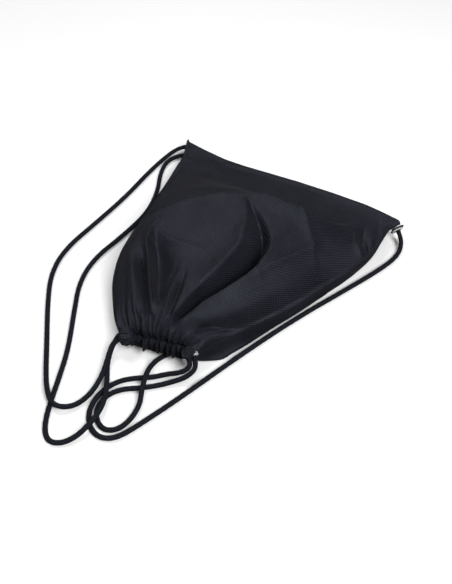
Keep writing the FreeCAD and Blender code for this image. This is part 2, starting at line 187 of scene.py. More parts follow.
def wave(tree, value, pitch):
    return math_node(tree, "SINE", math_node(tree, "MULTIPLY", value, 2 * math.pi / pitch))


def paint(tree, shader, factor, dark, light):
    """Colours the shader between dark and light, by the factor."""
    mix = tree.nodes.new("ShaderNodeMix")
    mix.data_type = "RGBA"
    tree.links.new(factor, mix.inputs["Factor"])
    set_inputs(mix, {"A": (*dark, 1), "B": (*light, 1)})
    tree.links.new(mix.outputs["Result"], shader.inputs["Base Color"])


def add_bump(tree, shader, height, distance, strength=1.0):
    bump = tree.nodes.new("ShaderNodeBump")
    set_inputs(bump, {"Distance": distance, "Strength": strength})
    tree.links.new(height, bump.inputs["Height"])
    tree.links.new(bump.outputs["Normal"], shader.inputs["Normal"])


# The weave's repeats, in metres, and the braid's: a strand's pitch, and how many go each way.
RIB_PITCH = 0.0026
CROSS_PITCH = 0.0022
TAPE_RIB_PITCH = 0.0016
BRAID_PITCH = 0.0085
BRAID_STRANDS = 6


def nylon(name, dark, light):
    """Woven nylon: a fine twill of dots along and across, with slight shade changes."""
    mat, tree, shader = nodes_of(name)
    coords, u, v = uv_axes(tree)
    slope = math_node(tree, "ADD", u, math_node(tree, "MULTIPLY", v, 0.55))
    rib = wave(tree, slope, RIB_PITCH)
    counter_slope = math_node(tree, "SUBTRACT", v, math_node(tree, "MULTIPLY", u, 0.5))
    cross = wave(tree, counter_slope, CROSS_PITCH)
    dots = math_node(tree, "MULTIPLY", math_node(tree, "ADD", rib, 1.0), math_node(tree, "ADD", cross, 1.0))
    dots = math_node(tree, "MULTIPLY", dots, 0.25)
    cloud = tree.nodes.new("ShaderNodeTexNoise")
    set_inputs(cloud, {"Scale": 22.0, "Detail": 5.0})
    tree.links.new(coords.outputs["UV"], cloud.inputs["Vector"])
    shade = math_node(tree, "MULTIPLY", dots, math_node(tree, "ADD", cloud.outputs["Fac"], 0.4))
    paint(tree, shader, shade, dark, light)
    rough = math_node(tree, "ADD", math_node(tree, "MULTIPLY", cloud.outputs["Fac"], 0.12), 0.38)
    rough = math_node(tree, "SUBTRACT", rough, math_node(tree, "MULTIPLY", dots, 0.18))
    tree.links.new(rough, shader.inputs["Roughness"])
    set_inputs(shader, {"Specular IOR Level": 0.17, "Specular Tint": (0.78, 0.84, 1.0, 1),
                        "Sheen Weight": 0.02, "Sheen Roughness": 0.5})
    add_bump(tree, shader, dots, 0.00025, 1.0)
    return mat


def braid(name):
    """Round braid: two sets of strands that cross, u along in metres, v around from 0 to 1."""
    mat, tree, shader = nodes_of(name)
    _, u, v = uv_axes(tree)
    along = math_node(tree, "MULTIPLY", u, 2 * math.pi / BRAID_PITCH)
    around = math_node(tree, "MULTIPLY", v, 2 * math.pi * BRAID_STRANDS)
    one = math_node(tree, "SINE", math_node(tree, "ADD", around, along))
    two = math_node(tree, "SINE", math_node(tree, "SUBTRACT", around, along))
    weave = math_node(tree, "MAXIMUM", one, two)
    weave = math_node(tree, "MULTIPLY", math_node(tree, "ADD", weave, 1.0), 0.5)
    fibre = wave(tree, math_node(tree, "ADD", math_node(tree, "MULTIPLY", v, 0.02), u), 0.0006)
    height = math_node(tree, "ADD", weave, math_node(tree, "MULTIPLY", fibre, 0.12))
    paint(tree, shader, weave, (0.0020, 0.0022, 0.0036), (0.0095, 0.0105, 0.0150))
    set_inputs(shader, {"Roughness": 0.62, "Specular IOR Level": 0.12,
                        "Specular Tint": (0.8, 0.86, 1.0, 1), "Sheen Weight": 0.01})
    add_bump(tree, shader, height, 0.0004, 0.8)
    return mat


def webbing(name):
    """Ribbed tape, woven across its own height."""
    mat, tree, shader = nodes_of(name)
    coords = tree.nodes.new("ShaderNodeTexCoord")
    split = tree.nodes.new("ShaderNodeSeparateXYZ")
    tree.links.new(coords.outputs["Object"], split.inputs["Vector"])
    rib = wave(tree, split.outputs["Z"], TAPE_RIB_PITCH)
    cross = wave(tree, math_node(tree, "ADD", split.outputs["X"], split.outputs["Y"]), CROSS_PITCH)
    weave = math_node(tree, "MULTIPLY", rib, cross)
    height = math_node(tree, "MULTIPLY", math_node(tree, "ADD", weave, 1.0), 0.5)
    paint(tree, shader, height, (0.007, 0.007, 0.009), (0.03, 0.03, 0.034))
    set_inputs(shader, {"Roughness": 0.75})
    add_bump(tree, shader, height, 0.0003, 0.8)
    return mat


def nickel(name):
    """Satin nickel plate with fine grain."""
    mat, tree, shader = nodes_of(name)
    set_inputs(shader, {"Metallic": 0.45})
    noise = tree.nodes.new("ShaderNodeTexNoise")
    set_inputs(noise, {"Scale": 900.0, "Detail": 4.0})
    coords = tree.nodes.new("ShaderNodeTexCoord")
    tree.links.new(coords.outputs["Object"], noise.inputs["Vector"])
    paint(tree, shader, noise.outputs["Fac"], (0.84, 0.84, 0.86), (0.95, 0.95, 0.96))
    rough = math_node(tree, "ADD", math_node(tree, "MULTIPLY", noise.outputs["Fac"], 0.18), 0.16)
    tree.links.new(rough, shader.inputs["Roughness"])
    add_bump(tree, shader, noise.outputs["Fac"], 0.00003, 0.4)
    return mat


def thread(name):
    """Spun sewing thread, nearly the cloth's own colour."""
    mat, tree, shader = nodes_of(name)
    noise = tree.nodes.new("ShaderNodeTexNoise")
    set_inputs(noise, {"Scale": 1500.0})
    paint(tree, shader, noise.outputs["Fac"], (0.002, 0.002, 0.003), (0.010, 0.010, 0.014))
    set_inputs(shader, {"Roughness": 0.55})
    return mat


# ---------------------------------------------------------------- cords
CORDS = {
    "left_upper": [
        (-24.1, -164.6, 23.5), (-29.5, -167, 21.5), (-35.5, -174, 16), (-31.5, -188, 9.5),
        (-22, -209, 9.5), (-19, -232, 5), (-23, -253, 4), (-33, -266, 7), (-46, -269, 9.5),
        (-63, -257, 9.5), (-82, -238, 5), (-107, -209, 3), (-146, -164, 3), (-177, -123, 3),
        (-190, -80, 3), (-187, -20, 3), (-185, 45, 3), (-189, 105, 3), (-188, 143, 3),
        (-184, 161, 5), (-175.8, 171, 8.5), (-161.3, 179.5, 10.4), (-150.5, 171, 7.5),
    ],
    "left_lower": [
        (-26.8, -159, 23.5), (-31.6, -161.3, 22.1), (-37, -162, 16), (-37, -176, 7), (-31, -191, 3),
        (-21, -204, 5), (-13, -213, 9.5), (-2, -229, 9.5), (5, -247, 9.5), (6, -266, 9.5),
        (2, -283, 5), (-7, -298, 3), (-21, -304, 3), (-35, -294, 3), (-48, -272, 3), (-62, -241, 3),
        (-80, -203, 3), (-110, -157, 3), (-137, -115, 3), (-147, -72, 3), (-141, -20, 3),
        (-140, 34, 3), (-154, 76, 3), (-174, 110, 3), (-181, 137, 3), (-174, 154, 4),
        (-162, 161, 6), (-152, 162.5, 6.5),
    ],
    "right_upper": [
        (51.8, -147.3, 23.5), (58.2, -151.1, 20.6), (57, -157, 15), (48, -163.5, 9),
        (37, -168.5, 5), (25, -180, 3), (9, -191, 3), (-4, -204, 3), (-11, -220, 3), (-12, -239, 3),
        (-6, -256, 3), (7, -268, 3), (23, -271.5, 3), (38, -262, 3), (49, -235, 3), (67, -183, 3),
        (93, -99, 3), (121, -19, 3), (150, 50, 3), (171, 101, 3), (182.5, 138, 3), (180, 160, 5),
        (172.2, 168.6, 13.8), (159, 177.1, 20.2), (149.5, 165, 8),
    ],
    "right_lower": [
        (55, -141.9, 23.5), (60.6, -145.2, 21), (64.5, -152.5, 15), (59, -162.5, 9), (51, -170, 5),
        (38, -184, 3), (22, -198.5, 3), (6, -210, 3), (-4, -225, 3), (-4, -243, 3), (6, -257, 3),
        (21, -262, 3), (33, -253, 3), (37, -236, 3), (35, -217, 5), (28, -204, 9.5),
        (19, -184, 9.5), (15, -168, 6), (17, -151, 3), (30, -129, 3), (51, -108, 3), (77, -80, 3),
        (95, -42, 3), (112, -2, 3), (129, 37, 3), (142, 75, 3), (147, 110, 3), (150, 135, 4),
        (149.5, 148, 5.5), (149, 155, 6),
    ],
}


def nurbs_path(name, points):
    """The smooth centreline of a route, as points in metres."""
    curve = bpy.data.curves.new(name, "CURVE")
    curve.dimensions = "3D"
    spline = curve.splines.new("NURBS")
    spline.points.add(len(points) - 1)
    for point, (x, y, z) in zip(spline.points, points):
        point.co = (x * MM, y * MM, z * MM, 1)
    spline.order_u = 3
    spline.use_endpoint_u = True
    curve.resolution_u = 24
    obj = new_object(name, curve)
    bpy.context.view_layer.update()
    mesh = bpy.data.meshes.new_from_object(obj.evaluated_get(bpy.context.evaluated_depsgraph_get()))
    line = np.array([v.co[:] for v in mesh.vertices])
    bpy.data.objects.remove(obj)
    return line


def even(line, step):
    """The same line at equal steps."""
    gaps = np.linalg.norm(np.diff(line, axis=0), axis=1)
    keep = np.concatenate([[True], gaps > 1e-7])
    line = line[keep]
    run = np.concatenate([[0], np.cumsum(np.linalg.norm(np.diff(line, axis=0), axis=1))])
    count = max(2, int(round(run[-1] / step)) + 1)
    at = np.linspace(0, run[-1], count)
    return np.stack([np.interp(at, run, line[:, k]) for k in range(3)], axis=1), at


def carried_frames(line):
    """Side vectors carried along the line without twist."""
    tangents = np.gradient(line, axis=0)
    tangents /= np.linalg.norm(tangents, axis=1)[:, None]
    side = np.cross(tangents[0], (0.1, 0.2, 1.0))
    sides = []
    for tangent in tangents:
        side = side - tangent * np.dot(side, tangent)
        side /= np.linalg.norm(side)
        sides.append(side.copy())
    sides = np.array(sides)
    return sides, np.cross(tangents, sides)


def ring_faces(base, rings, sides):
    """The faces of a tube whose rings of points start at point number base, with its two ends."""
    faces = []
    for a in range(base, base + (rings - 1) * sides, sides):
        for k in range(sides):
            n = (k + 1) % sides
            faces.append((a + k, a + n, a + sides + n, a + sides + k))
    faces.append(tuple(base + k for k in reversed(range(sides))))
    faces.append(tuple(base + (rings - 1) * sides + k for k in range(sides)))
    return faces


def smooth_mesh(name, points, faces, mats, uv=None):
    """A smooth mesh of points in metres; uv has a pair for each point."""
    mesh = bpy.data.meshes.new(name)
    mesh.from_pydata(points.tolist(), [], faces)
    if uv is not None:
        layer = mesh.uv_layers.new(name="UVMap")
        index = np.zeros(len(mesh.loops), dtype=np.int32)
        mesh.loops.foreach_get("vertex_index", index)
        layer.data.foreach_set("uv", uv[index].astype(np.float32).ravel())
    mesh.polygons.foreach_set("use_smooth", [True] * len(mesh.polygons))
    for mat in mats:
        mesh.materials.append(mat)
    return new_object(name, mesh)


TUBE_SIDES = 22
TUBE_STEP = 0.0011
STRAND_RISE = 0.00016


def braided_tube(name, line, diameter, mat):
    """A round braid about a line: crossing strands stand proud of its surface."""
    sides = TUBE_SIDES
    centre, at = even(line, TUBE_STEP)
    first, second = carried_frames(centre)
    turn = np.linspace(0, 2 * math.pi, sides, endpoint=False)
    count = len(centre)
    phase = at[:, None] * 2 * math.pi / BRAID_PITCH
    one = np.sin(BRAID_STRANDS * turn[None, :] + phase)
    two = np.sin(BRAID_STRANDS * turn[None, :] - phase)
    lift = np.maximum(one, two)
    radius = diameter / 2 - STRAND_RISE + STRAND_RISE * lift
    ring = first[:, None, :] * np.cos(turn)[None, :, None]
    ring = ring + second[:, None, :] * np.sin(turn)[None, :, None]
    points = centre[:, None, :] + ring * radius[:, :, None]
    tube = smooth_mesh(name, points.reshape(-1, 3), ring_faces(0, count, sides), [mat])
    layer = tube.data.uv_layers.new(name="UVMap")
    for number, polygon in enumerate(tube.data.polygons):
        row, k = divmod(number, sides)
        for corner, loop in enumerate(polygon.loop_indices):
            if row < count - 1:
                u, v = at[row + (corner in (2, 3))], (k + (corner in (1, 2))) / sides
            else:
                u, v = 0.0, 0.0
            layer.data[loop].uv = (u, v)
    return tube


# One overhand knot's line about its own centre, and where each knot lies.
KNOT = [
    (0, -2.6, 0), (6.8, -1.4, -3), (8.6, 5, 0), (3.4, 6.6, 3), (-2.9, 1.6, 0), (-3.9, -6, -3),
    (0.5, -9.2, 0), (4.1, -5.6, 3), (2.7, 1.8, 0), (-3.2, 6.4, -3), (-8.4, 4.8, 0), (-7.0, -0.8, 3),
    (-0.4, -3.2, 0.4),
]
KNOT_PLACES = {"left": (-146, 166, 6.6, 30.0), "right": (147, 161, 6.6, 150.0)}


def make_knots(mat):
    knots = {}
    for side, (x, y, z, turn) in KNOT_PLACES.items():
        cos, sin = math.cos(math.radians(turn)), math.sin(math.radians(turn))
        points = [(x + cos * a - sin * b, y + sin * a + cos * b, z + c) for a, b, c in KNOT]
        knot = braided_tube(side + "_overhand_knot", nurbs_path(side + "_knot", points), 5.4 * MM, mat)
        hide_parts(side + "_cord_knot")
        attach(knot, "root")
        knots[side] = knot
    return knots


def make_cords(mat, knots):
    lines = {}
    for name, points in CORDS.items():
        line = nurbs_path(name, points)
        lines[name] = line
        strand = braided_tube(name + "_strand", line, CORD * MM, mat)
        side, level = name.split("_")
        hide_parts("%s_cord_%s_strand" % (side, level))
        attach(strand, "root")
    return lines


# ---------------------------------------------------------------- the bag's cloth
# Rows from the bottom seam to the cinched mouth: the left seam point, the right seam point,
# and the front panel's rise above the line between them at each column.
COLUMNS = (0.0, 0.05, 0.13, 0.25, 0.39, 0.53, 0.67, 0.80, 0.92, 1.0)
ROWS = [
    ((-170, 174, 19.5), (168, 174, 27), (0, 0.3, 0.6, 0.8, 0.9, 1, 1, 1.2, 1, 0)),
    ((-162, 158, 20), (161, 159, 27), (0, 1, 1.8, 2.6, 3.2, 3.8, 4, 3.8, 2.8, 0)),
    ((-153, 138, 21), (160, 138, 27), (0, 3, 4.5, 6, 8, 9, 10, 9.5, 7, 0)),
    ((-147, 112, 22), (160, 113, 26), (0, 6, 9, 13, 17, 21, 23, 21, 12, 0)),
    ((-140, 84, 23), (154, 88, 25), (0, 14, 22, 31, 42, 53, 48, 36, 16, 0)),
    ((-134, 56, 24), (145, 60, 23), (0, 20, 30, 46, 57, 54, 50, 40, 20, 0)),
    ((-127, 20, 24), (132, 27, 21), (0, 24, 38, 56, 57, 54, 51, 43, 25, 0)),
    ((-120, -22, 24), (118, -13, 21), (0, 28, 45, 54, 53, 50, 50, 43, 27, 0)),
    ((-109, -64, 24), (98, -55, 21), (0, 27, 40, 47, 48, 46, 46, 41, 27, 0)),
    ((-90, -102, 24), (78, -92, 21), (0, 20, 31, 38, 40, 40, 38, 33, 24, 0)),
    ((-68, -130, 23), (65, -117, 21), (0, 14, 22, 28, 31, 32, 30, 26, 19, 0)),
    ((-50, -149, 20), (58, -131, 21), (0, 10, 16, 19, 20, 21, 20, 17, 13, 0)),
    ((-33, -161, 17), (51, -138, 20), (0, 8, 10, 10, 9.5, 9.5, 9, 8, 6, 0)),
]
# Where each row's underside meets the floor: inset at the left, inset at the right, height.
UNDER = [
    (10, 10, 22.0), (10, 10, 14.0), (9, 10, 5.0), (8, 10, 0.8), (8, 6, 0.6), (8, 2, 0.6), (8, -1, 0.6),
    (8, -2, 0.6), (8, -6, 0.6), (6, -13, 0.6), (5, -13, 0.8), (4, -4, 3.0), (3, 0, 6.0),
]
# Folds: points (x, y, height of the fold, width on its left, width on its right) in travel order.
FOLDS = {
    "crest": [
        (-84, -50, 1, 5, 9), (-86, -27, 3, 5, 9), (-83, -10, 4, 5, 9), (-69, 5, 4, 5, 10),
        (-53, 24, 4, 5, 10), (-37, 43, 4, 5, 10), (-14, 59, 4, 5, 10), (13, 76, 4.5, 5, 10),
        (37, 81, 5, 5, 10), (62, 88, 5, 5, 9), (82, 91, 4.5, 5, 8), (100, 104, 4, 4, 7),
        (116, 119, 3.5, 4, 6), (132, 129, 1.5, 4, 5),
    ],
    "behind_crest": [
        (-104, -20, -3, 8, 6), (-96, 4, -6, 9, 6), (-78, 26, -7, 10, 6), (-50, 56, -7, 12, 7),
        (-18, 78, -6, 12, 7), (18, 98, -5, 12, 7), (56, 108, -4, 10, 6), (88, 112, -3, 8, 5),
        (112, 134, -1, 7, 5),
    ],
    "valley": [
        (4, 62, -2, 3, 6), (14, 53, -7, 3, 8), (28, 44, -13, 4, 11), (45, 29, -21, 4, 14),
        (55, 13, -29, 4, 16), (58, -6, -35, 4, 17), (57, -28, -38, 4, 16), (50, -52, -40, 4, 12),
        (41, -73, -39, 4, 8.5), (32, -91, -33, 4, 6.5), (27, -110, -20, 4, 5), (20, -128, -8, 4, 4),
    ],
    "valley_right_lip": [
        (36, 40, 1, 5, 3), (52, 26, 2, 6, 3), (60, 14, 3, 8, 3), (64, 0, 4, 9, 3),
        (63, -18, 6, 10, 3), (61, -36, 9, 12, 3.5), (54, -57, 10, 12, 4), (45, -77, 9, 10, 4),
        (35, -95, 7, 7, 4), (31, -110, 5, 5, 3), (27, -124, 3, 4, 3),
    ],
    "level_crease": [
        (102, 51, 3, 7, 14), (94, 31, 5, 8, 16), (84, 10, 6, 9, 14), (76, -7, 6, 9, 10),
        (69, -24, 4, 9, 6),
    ],
    "valley_left_lip": [
        (6, 52, 2, 5, 7), (16, 36, 4, 5, 8), (25, 14, 6, 5, 8), (31, -10, 6, 5, 8),
        (28, -45, 6, 5, 7), (24, -71, 6, 4, 6), (21, -95, 5, 4, 5), (19, -120, 3, 3, 4),
    ],
    "right_facet": [
        (56, 97, 2, 6, 10), (73, 82, 4, 6, 12), (88, 66, 5, 6, 14), (101, 53, 4, 6, 14),
    ],
    "left_ridge": [
        (-82, -64, 2, 7, 6), (-71, -84, 7, 7, 7), (-57, -99, 9, 6, 6), (-43, -115, 9, 5, 6),
        (-30, -130, 7, 4, 5), (-20, -140, 4, 4, 3),
    ],
    "left_groove": [
        (-62, -72, -6, 5, 5), (-52, -88, -13, 4, 4), (-42, -100, -15, 4, 4), (-27, -118, -13, 4, 4),
        (-13, -134, -7, 3, 3),
    ],
    "pocket_ridge": [
        (-74, -26, 3, 6, 8), (-71, -42, 6, 5, 7), (-63, -62, 9, 3.5, 6), (-49, -78, 11, 3, 5),
        (-33, -98, 11, 3, 5), (-18, -117, 8, 3, 4), (-6, -132, 4, 3, 3),
    ],
    "pocket_groove": [
        (-57, -56, -7, 12, 3), (-50, -64, -16, 18, 3), (-39, -79, -20, 20, 3),
        (-26, -97, -16, 15, 3), (-12, -115, -9, 7, 2.5),
    ],
    "pocket_brow": [
        (-66, -38, 1, 4, 5), (-57, -40, 3, 4, 6), (-44, -44, 4, 4, 6), (-26, -40, 3, 4, 6),
        (-10, -34, 1, 4, 6),
    ],
    "thin_ridge": [
        (-14, -62, 1, 4, 3.5), (-9, -74, 3, 4, 3.5), (-4, -95, 4.5, 4, 3.5), (2, -113, 4, 3.5, 3),
        (8, -129, 3, 3, 3),
    ],
    "thin_groove": [
        (-2, -70, -3, 3, 3), (3, -88, -7, 3, 3), (8, -106, -7, 3, 3), (12, -124, -4, 3, 3),
    ],
    "middle_ridge": [
        (-4, -60, 1, 4, 4), (0, -70, 3, 5, 4), (10, -90, 4, 5, 4), (15, -112, 4, 4, 3),
        (17, -127, 3, 3, 3),
    ],
    "mouth_crease": [
        (44, -124, -5, 4, 4), (50, -117, -10, 4, 4), (67, -99, -12, 4, 4), (80, -86, -9, 4, 4),
        (90, -76, -3, 4, 4),
    ],
    "mouth_roll": [
        (54, -126, 3, 4, 4), (60, -119, 4, 4, 5), (73, -100, 5, 5, 6), (86, -80, 3, 5, 6),
        (98, -62, 1, 5, 6),
    ],
    "corner_fold": [
        (134, 133, -3, 7, 4), (138, 121, -8, 9, 3.5), (143, 112, -9, 9, 3.5),
        (151, 104, -7, 7, 3.5), (159, 99, -3, 5, 3),
    ],
    "corner_ridge": [
        (126, 124, 1, 4, 7), (133, 113, 3, 3.5, 8), (140, 104, 4, 3.5, 8), (151, 96, 3, 3, 6),
    ],
    "corner_knuckle": [
        (148, 131, 1, 5, 5), (151, 120, 3.5, 5, 5), (154, 110, 2, 4, 4),
    ],
    "flap_ridge": [
        (-120, 160, 1, 12, 9), (-90, 135, 3, 12, 9), (-66, 112, 2, 10, 9),
    ],
    "flap_ridge_right": [
        (40, 165, 1, 9, 9), (38, 140, 3, 9, 9), (40, 118, 2, 8, 8),
    ],
}


def spaced(values, at):
    """Catmull-Rom through values at 0, 1, 2 and so on, read at the given places."""
    table = np.asarray(values, float)
    last = len(table) - 1
    cell = np.clip(np.floor(at).astype(int), 0, last - 1)
    f = (at - cell).reshape(at.shape + (1,) * (table.ndim - 1))
    first = (cell > 0).reshape(f.shape)
    final = (cell < last - 1).reshape(f.shape)
    p1, p2 = table[cell], table[cell + 1]
    p0 = np.where(first, table[np.maximum(cell - 1, 0)], 2 * p1 - p2)
    p3 = np.where(final, table[np.minimum(cell + 2, last)], 2 * p2 - p1)
    square = 2 * p0 - 5 * p1 + 4 * p2 - p3
    cube = 3 * p1 - p0 - 3 * p2 + p3
    return 0.5 * (2 * p1 + (p2 - p0) * f + square * f**2 + cube * f**3)


# How the bottom edge sways: place across, height, and distance out.
SWAY = [
    (0, 0, 0), (0.1, -3, -2), (0.2, -5, -3), (0.3, -3.5, -3), (0.42, -1, -1), (0.55, 2.5, 0),
    (0.7, 5, 1), (0.85, 6.5, 1), (0.95, 5, 0), (1, 0, -1),
]


def sway(points, across, along):
    """Adds the bottom edge's sway, which fades out over the first rows."""
    places, heights, outs = zip(*SWAY)
    fade = np.exp(-((along / 1.6) ** 2))
    points[:, 2] += np.interp(across, places, heights) * fade
    points[:, 1] += np.interp(across, places, outs) * fade
    return points


def front_base(across, along):
    """The front panel without folds, in millimetres. across 0..1, along 0..12."""
    left = spaced([row[0] for row in ROWS], along)
    right = spaced([row[1] for row in ROWS], along)
    net = spaced([row[2] for row in ROWS], along)
    columns = np.array(COLUMNS)
    place = np.interp(across, columns, np.arange(len(columns)))
    cell = np.clip(np.floor(place).astype(int), 0, len(columns) - 2)
    item = np.arange(len(across))

    def slope(number):
        low = np.clip(number - 1, 0, len(columns) - 1)
        high = np.clip(number + 1, 0, len(columns) - 1)
        return (net[item, high] - net[item, low]) / (columns[high] - columns[low])

    width = columns[cell + 1] - columns[cell]
    f = (across - columns[cell]) / width
    rise = (2 * f**3 - 3 * f**2 + 1) * net[item, cell] + (f**3 - 2 * f**2 + f) * slope(cell) * width
    rise += (3 * f**2 - 2 * f**3) * net[item, cell + 1] + (f**3 - f**2) * slope(cell + 1) * width
    points = left + (right - left) * across[:, None]
    points[:, 2] += np.maximum(rise, 0)
    return sway(points, across, along)


# How round a fold's top is, and the folds that have a crisp one.
CRISP, BROAD = 0.03, 0.35
SHARP = (
    "valley_right_lip", "valley", "level_crease", "right_facet", "pocket_brow", "corner_fold",
    "corner_ridge", "crest", "left_groove", "pocket_ridge", "thin_ridge",
)


def fold_height(points, line, roundness):
    """How far a fold lifts each point of the panel: its height falls off to each side of its line."""
    knots = np.array(line, float)
    dense = spaced(knots, np.linspace(0, len(knots) - 1, 20 * len(knots)))
    direction = np.gradient(dense[:, :2], axis=0)
    direction /= np.linalg.norm(direction, axis=1)[:, None] + 1e-9
    away = points[:, None, :2] - dense[None, :, :2]
    gap = np.linalg.norm(away, axis=2)
    near = np.argmin(gap, axis=1)
    item = np.arange(len(points))
    offset = away[item, near]
    heading = direction[near]
    side = heading[:, 0] * offset[:, 1] - heading[:, 1] * offset[:, 0]
    width = np.where(side > 0, dense[near, 3], dense[near, 4])
    reach = gap[item, near] / np.maximum(width, 1.0)
    profile = np.exp(-1.25 * (np.sqrt(reach * reach + roundness) - math.sqrt(roundness)))
    return dense[near, 2] * profile


def grid_normals(points, rows, columns):
    grid = points.reshape(rows, columns, 3)
    down = np.gradient(grid, axis=0)
    over = np.gradient(grid, axis=1)
    normal = np.cross(over, down)
    normal *= np.sign(normal[..., 2:3] + 1e-12)
    normal /= np.linalg.norm(normal, axis=2)[..., None] + 1e-12
    return normal.reshape(-1, 3)


# One panel's cut before it was gathered, in millimetres.
FLAT_WIDTH, FLAT_LENGTH = 340.0, 400.0
HEM_RUNS = ["left_cord_hem_run", "right_cord_hem_run"]
# Grid columns across a panel, grid rows in the frill below the cinch, the last of ROWS, where the
# cinch is, and the share of the width in which the underside rounds up to each side seam.
ACROSS = 180
FRILL = 18
MOUTH = 12.0
WALL_SHARE = 0.10
# Grid steps in millimetres: along the bag, and over the last stretch before the mouth.
STEP, FINE_STEP, FINE_STRETCH = 2.7, 1.7, 75
# Which way the mouth faces.
OUT = np.array([0.309, -0.951, 0.0])
rng = random.Random(7)


def pleat_phases():
    """Where the mouth's pleats stand across the panel, unevenly spaced."""
    edges = [0.0]
    while edges[-1] < 1.0:
        edges.append(edges[-1] + rng.uniform(0.06, 0.13))
    edges = [e / edges[-1] for e in edges]
    heights = [rng.uniform(0.65, 1.15) for _ in edges]
    leans = [rng.uniform(-0.010, 0.010) for _ in edges]
    return edges, heights, leans


def pleat_lift(across, depth, pleats):
    """Ridges with narrow grooves between them, from -1 to 1; depth wavers them along the cloth."""
    edges, heights, leans = pleats
    lift = np.zeros_like(across)
    for number in range(len(edges) - 1):
        low = edges[number] + leans[number] * np.sin(depth * 2.3 + number)
        high = edges[number + 1] + leans[number + 1] * np.sin(depth * 2.3 + number + 1)
        inside = (across >= low) & (across <= high)
        phase = (across[inside] - low[inside]) / np.maximum(high[inside] - low[inside], 1e-6)
        ridge = np.power(np.clip(np.sin(math.pi * phase), 0, 1), 0.6)
        lift[inside] = (2 * ridge - 1.0) * heights[number]
    return lift


def pinch_set():
    """Small sharp folds near the mouth: place, first row, height, width, lean and waver of each."""
    folds = []
    small, large = 24, 7
    for number in range(small):
        place = (number + 0.5 + rng.uniform(-0.45, 0.45)) / small
        folds.append((place, rng.uniform(9.8, 11.2), rng.uniform(2.4, 5.2), rng.uniform(0.010, 0.018),
                      rng.uniform(-0.016, 0.016), rng.uniform(0, 6.28)))
    for number in range(large):
        place = (number + 0.5 + rng.uniform(-0.4, 0.4)) / large
        folds.append((place, rng.uniform(9.0, 10.4), rng.uniform(3.6, 6.2), rng.uniform(0.024, 0.038),
                      rng.uniform(-0.012, 0.012), rng.uniform(0, 6.28)))
    return folds


def pinch_lift(across, along, folds):
    """The height that the mouth's sharp folds add, about a mean of none."""
    lift = np.zeros_like(across)
    down = MOUTH - along
    for place, first, height, width, lean, waver in folds:
        centre = place + lean * down + 0.004 * np.sin(3.5 * along + waver)
        gap = np.abs(across - centre) / width
        grow = np.clip((along - first) / 0.8, 0, 1)
        profile = np.exp(-np.power(gap, 1.4)) - 0.35 * np.exp(-((gap / 2.4) ** 2))
        lift += height * profile * grow * grow * (3 - 2 * grow)
    return lift


def row_places():
    """Rows at even distances down the panel, closer together near the mouth."""
    centre = [(np.array(row[0]) + np.array(row[1])) / 2 for row in ROWS]
    run = np.concatenate([[0], np.cumsum([np.linalg.norm(b - a) for a, b in zip(centre, centre[1:])])])
    places = []
    at = 0.0
    while at < run[-1]:
        places.append(at)
        at += STEP if at < run[-1] - FINE_STRETCH else FINE_STEP
    places.append(run[-1])
    return np.interp(places, run, np.arange(len(ROWS)))


def quarter_turn(seam, floor, share):
    """The rounded wall from the side seam down to where the cloth meets the floor."""
    turn = share * math.pi / 2
    parts = np.stack([1 - np.cos(turn), 1 - np.cos(turn), np.sin(turn)], axis=1)
    return seam + (floor - seam) * parts


